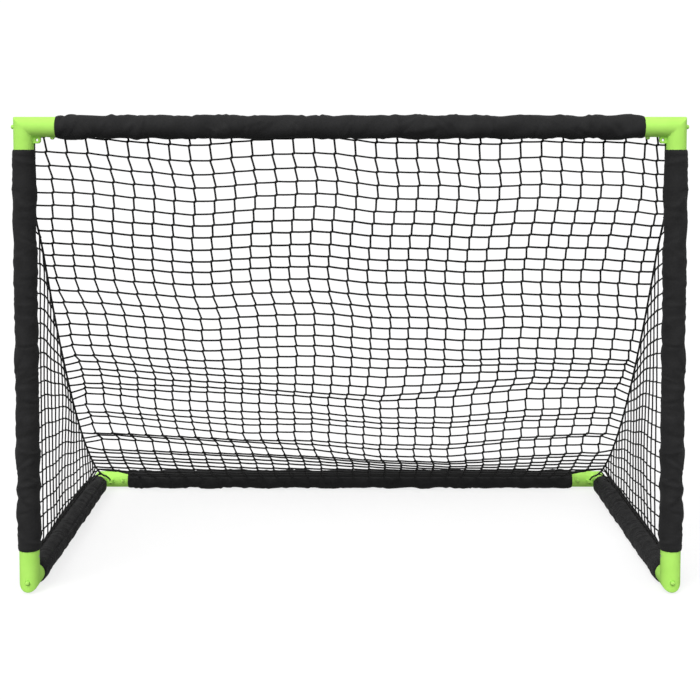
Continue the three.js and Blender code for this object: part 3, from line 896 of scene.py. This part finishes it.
def back_net():
    shape = Shape()
    points, normals, places = knots_and_normals()
    kept = np.abs(points[..., 0]) < np.vectorize(back_edge_x)(places) - 5.0
    for i in range(COLUMNS):
        last = int(np.flatnonzero(kept[:, i])[-1])
        top = np.array([points[0, i, 0] - 1.5, 13.0, 831.5])
        if last + 1 < len(points):
            meets = 0.5 * (places[last, i] + places[last + 1, i])
            bottom = on_slope(math.copysign(back_edge_x(meets), points[0, i, 0]), meets)[0]
        else:
            bottom = np.array([points[-1, i, 0] + 1.0, 694.4, 31.9])
        stops = [top, *(points[:last + 1, i] + OVER * normals[:last + 1, i]), bottom]
        sweep(shape, cord_path(stops, COLUMN_STEP), (1.0, 0.02, 0.0), CORD_RADIUS)
    for j in range(len(points)):
        # The slack rows meet the edge cords lower than they lie in the net.
        lower = ROW_END_DROP * smooth((j - UPPER + 6) / 6) * (1 - smooth((j - UPPER - 10) / 3))
        ends = []
        for side, i in ((-1, 0), (1, -1)):
            down = min(LAST_PLACE, places[j, i] + lower)
            ends.append(on_slope(side * (back_edge_x(down) - 0.9), down)[0])
        inner = np.flatnonzero(kept[j])
        stops = [ends[0], *(points[j, inner] - OVER * normals[j, inner]), ends[1]]
        sweep(shape, cord_path(stops, ROW_STEP, 0.35), normals[j, COLUMNS // 2], CORD_RADIUS)
        for i in inner:
            beside = points[j, min(i + 1, COLUMNS - 1)] - points[j, max(i - 1, 0)]
            knot(shape, points[j, i], unit(beside), normals[j, i])
    for side in (-1.0, 1.0):
        corner = [on_slope(side * back_edge_x(down), down)[0]
                  for down in np.linspace(CORNER_START, LAST_PLACE, 12)]
        sweep(shape, [*corner, [side * (MOUTH_X - 3.0), 699.0, 42.5]], (0.0, 0.5, 1.0), CORD_RADIUS)
    return shape


def cord_height(y):
    """Height of the edge cords, and so of the side nets' upper edge."""
    return np.interp(y, *SAG.T)


SIDE_FRONT = 13.5
SIDE_LOW = 33.0
SIDE_PITCH = 27.8
SIDE_ROW_PITCH = 27.4
SIDE_REAR = 606.0
CORNER_RISE = 52.0
CORNER_REACH = 36.0
CORNER_END = SIDE_FRONT + CORNER_REACH
LEAN_FROM = 90.0
LEAN = (-27.0, 0.0, 7.0)
# For rows that start at these heights on the post: how far back they reach, and how much they droop.
ROW_FRONTS = (35, 120, 214, 298, 456, 680)
ROW_REACHES = (640, 560, 455, 400, 205, 60)
ROW_DROOPS = (0, 34, 62, 84, 74, 30)


def side_row_height(front, y):
    """Height of a side-net row that starts at height front on the post: it droops to the rear."""
    reach, droop = (np.interp(front, ROW_FRONTS, table) for table in (ROW_REACHES, ROW_DROOPS))
    return front - droop * (np.clip(y / reach, 0, 1.25)) ** 1.6


def leaned(points):
    """A side net's foot leans outwards, to where it is sewn along the top of the side bar's sleeve."""
    top = np.minimum(LEAN_FROM, cord_height(points[:, 1]) - 2.0)
    return points + np.clip((top - points[:, 2]) / (top - SIDE_LOW), 0, 1)[:, None] * LEAN


def side_drift(points, seed):
    """Slack in a side net: it bellies and wanders a little, but not along its edges."""
    y, z = points[:, 1], points[:, 2]
    room = np.minimum.reduce([y - SIDE_FRONT, z - 35.0, cord_height(y) - z])
    loose = np.clip(room / 70.0, 0, 1)
    belly = 2.2 * np.sin(y / 61.0 + seed) * np.sin(z / 83.0 + 0.7 * seed) + 1.2
    sway = 2.6 * np.sin(z / 41.0 + seed) + 1.6 * np.sin(y / 37.0 + 2 * seed)
    lift = 2.4 * np.sin(y / 29.0 + seed) + 1.5 * np.sin(z / 47.0 + y / 90.0)
    return leaned(points + np.stack([belly, sway, lift], -1) * loose[:, None])


def side_floor(y):
    """Lowest height of a side net. Its lower front corner is cut away above the foot."""
    return SIDE_LOW + max(0.0, CORNER_REACH - (y - SIDE_FRONT)) * CORNER_RISE / CORNER_REACH


def side_start(z):
    """Where a row starts: at the post, or on the cord across the lower front corner."""
    return SIDE_FRONT + max(0.0, 1 - (z - SIDE_LOW) / CORNER_RISE) * CORNER_REACH


def side_net(seed, first):
    """The left-hand side net. first is the distance from the post to the first column, in columns."""
    shape = Shape()
    out = np.array([1.0, 0.0, 0.0])
    columns = np.arange(SIDE_FRONT + SIDE_PITCH * first, SIDE_REAR - 6, SIDE_PITCH)
    fronts = np.arange(SIDE_LOW + SIDE_ROW_PITCH * 0.7, 690.0, SIDE_ROW_PITCH)
    crossings = [[] for _ in columns]
    for front in fronts:
        begins = side_start(front)
        at_post = begins < SIDE_FRONT + 0.1
        stops = [np.array([-NET_X - 1.8 * at_post, begins - 4.0 * at_post, front])]
        for k, y in enumerate(columns):
            z = side_row_height(front, y)
            if y < begins + 4.0:
                continue
            if z > cord_height(y) - 9.0:
                break
            stops.append(np.array([-NET_X, y, z]))
            crossings[k].append(z)
        y_end = stops[-1][1]
        while y_end < SIDE_REAR and side_row_height(front, y_end) < cord_height(y_end) - 1.0:
            y_end += 1.0
        if y_end - stops[-1][1] > 1.0 or len(stops) == 1:
            stops.append(np.array([-NET_X, y_end, side_row_height(front, y_end)]))
        path = side_drift(cord_path(stops, SIDE_ROW_STEP, 0.3), seed)
        sweep(shape, path + OVER * out, out, SIDE_CORD_RADIUS, capped=False)
    for k, y in enumerate(columns):
        top, floor = cord_height(y) - 0.6, side_floor(y)
        heights = [z for z in sorted(crossings[k]) if floor + 5.0 < z < top - 4.0]
        foot = (-NET_X - 2.4, y, 31.5) if floor < SIDE_LOW + 1 else (-NET_X, y, floor)
        stops = np.array([foot, *[(-NET_X, y, z) for z in (*heights, top)]])
        path = side_drift(cord_path(stops, SIDE_COLUMN_STEP), seed)
        sweep(shape, path - OVER * out, out, SIDE_CORD_RADIUS, capped=False)
        for centre in side_drift(stops[1:-1], seed):
            blob(shape, centre, [[0, 2.3, 0], [0, 0, 2.1], [1.8, 0, 0]])
    corner = [(-NET_X - 1.8, SIDE_FRONT - 3.0, SIDE_LOW + CORNER_RISE + 4.0),
              *[(-NET_X, y, side_floor(y)) for y in np.linspace(SIDE_FRONT, CORNER_END, 7)],
              (-NET_X - 1.5, CORNER_END + 5.0, SIDE_LOW - 1.0)]
    sweep(shape, leaned(np.array(corner)), out, SIDE_CORD_RADIUS, capped=False)
    return shape


def fold_with_frame(piece):
    """Bakes the piece's placement into its points. The net is not turned about the fold pin."""
    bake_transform(piece)


TAIL_FROM_Y = 640.0
EYELET = np.array([-NET_X + 5.0, 687.6, 23.0])
ABOVE_EYELET = np.array([-NET_X + 2.0, 681.0, 35.5])


def edge_cord():
    """The left-hand edge cord. It ends in the eyelet of the rear elbow's lug, with a knot below."""
    shape = Shape()
    down = np.arange(2.0, SLOPE_LENGTH, 1.6)
    path = triples([-edge_x(d) for d in down], *[np.interp(down, SLOPE, line) for line in PROFILE.T])
    path = path[path[:, 1] < TAIL_FROM_Y]
    tail = bezier(np.linspace(0, 1, 24)[1:, None], path[-1], ABOVE_EYELET, EYELET)
    end = EYELET - (0.0, 0.0, 5.8)
    sweep(shape, np.vstack([path, tail, end]), (1.0, 0.0, 0.0), EDGE_CORD_RADIUS, 12,
          strands=(3, 9.0, 0.45))
    blob(shape, end, [[0, 0, 1.8], [3.2, 0, 0], [0, 3.2, 0]], 6, 12)
    return shape


def net_piece(shape, name, material, node, mirror=False):
    piece = shape.build(name, material, "cord", mirror=mirror)
    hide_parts(node)
    fold_with_frame(piece)
    return piece


net = net_piece(back_net(), "back_net_cords", NET_CORD, "back_net")
for (mirror, side), seed, first in zip(SIDES, (0.6, 2.9), (0.55, 1.12)):
    panel = net_piece(side_net(seed, first), f"{side}_side_net_cords", NET_CORD, f"{side}_side_net",
                      mirror)
    rope = net_piece(edge_cord(), f"{side}_net_edge_cord", ROPE, f"{side}_edge_cord", mirror)


# ---- CAD nodes that stay, with better materials ----
NODE_MATERIALS = (("tube", STEEL), ("fold_pin", STEEL), ("hinge_plug", BLACK_PLASTIC))
for node_name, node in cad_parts.items():
    for ending, material in NODE_MATERIALS:
        if node_name.endswith(ending):
            set_material(node, material)


# ---- floor, light and camera ----
def stage_object(name, points, faces, material):
    """Part of the surroundings. It neither lights the goal nor casts a shadow."""
    mesh = bpy.data.meshes.new(name)
    mesh.from_pydata(points, [], faces)
    mesh.materials.append(material)
    thing = new_object(name, mesh)
    thing.visible_diffuse = thing.visible_glossy = thing.visible_shadow = False


WHITE = (1, 1, 1, 1)
CORNERS = ((-1, -1), (1, -1), (1, 1), (-1, 1))
FLOOR = 30.0
BACK = 29.0
paper = Nodes("floor_paper")
paper.finish({
    "Base Color": paper.ramp(paper.noise(object_place(paper), 3.0),
                             [(0.3, (0.24, 0.24, 0.24)), (0.7, (0.26, 0.26, 0.26))]),
    "Roughness": 0.9,
    "Specular IOR Level": 0.1,
    "Emission Color": WHITE,
    "Emission Strength": 0.77,
})
stage_object("floor", [(x * FLOOR, y * FLOOR, 0) for x, y in CORNERS], [(0, 1, 2, 3)], paper.block)

# A plain white surround that only the camera sees.
surround = Nodes("white_surround").finish({
    "Base Color": (0, 0, 0, 1), "Emission Color": WHITE, "Emission Strength": 1.0})
stage_object("surround", [(x * BACK, y * BACK, z * BACK) for z in (-0.01, 1) for x, y in CORNERS],
             [(0, 1, 5, 4), (1, 2, 6, 5), (2, 3, 7, 6), (3, 0, 4, 7), (4, 5, 6, 7)], surround)

# The room's soft light: pale above and darker below, and two broad soft lamps.
studio = Nodes("studio", "worlds", "Background")
place = studio.add("ShaderNodeTexCoord").outputs["Generated"]
upward = studio.add("ShaderNodeSeparateXYZ", {"Vector": place}).outputs["Z"]
shade = studio.add("ShaderNodeMapRange", {"Value": upward, "From Min": -0.25, "From Max": 0.6,
                                          "To Min": 0.31, "To Max": 0.54})
bpy.context.scene.world = studio.finish({"Color": WHITE, "Strength": shade.outputs["Result"]})
bpy.context.scene.view_settings.view_transform = "Standard"


def soft_sun(name, azimuth, elevation, strength, softness):
    """A broad lamp. Azimuth 0 shines from the front and 90 from the goal's right-hand side."""
    data = bpy.data.lights.new(name, "SUN")
    data.energy = strength
    data.angle = math.radians(softness)
    lamp = new_object(name, data)
    lamp.rotation_euler = (math.radians(90.0 - elevation), 0.0, math.radians(azimuth))


soft_sun("key", -24.0, 42.0, 2.5, 40.0)
soft_sun("fill", 60.0, 35.0, 0.5, 60.0)

camera_data = bpy.data.cameras.new("camera")
camera_data.sensor_width = 36.0
camera_data.lens = 69.12
camera_data.shift_y = -0.2
camera = new_object("camera", camera_data)
camera.location = (0.0, ROW_Y - 2.4002, 0.836)
camera.rotation_euler = (math.radians(90.0 - 3.356), 0.0, 0.0)
bpy.context.scene.camera = camera
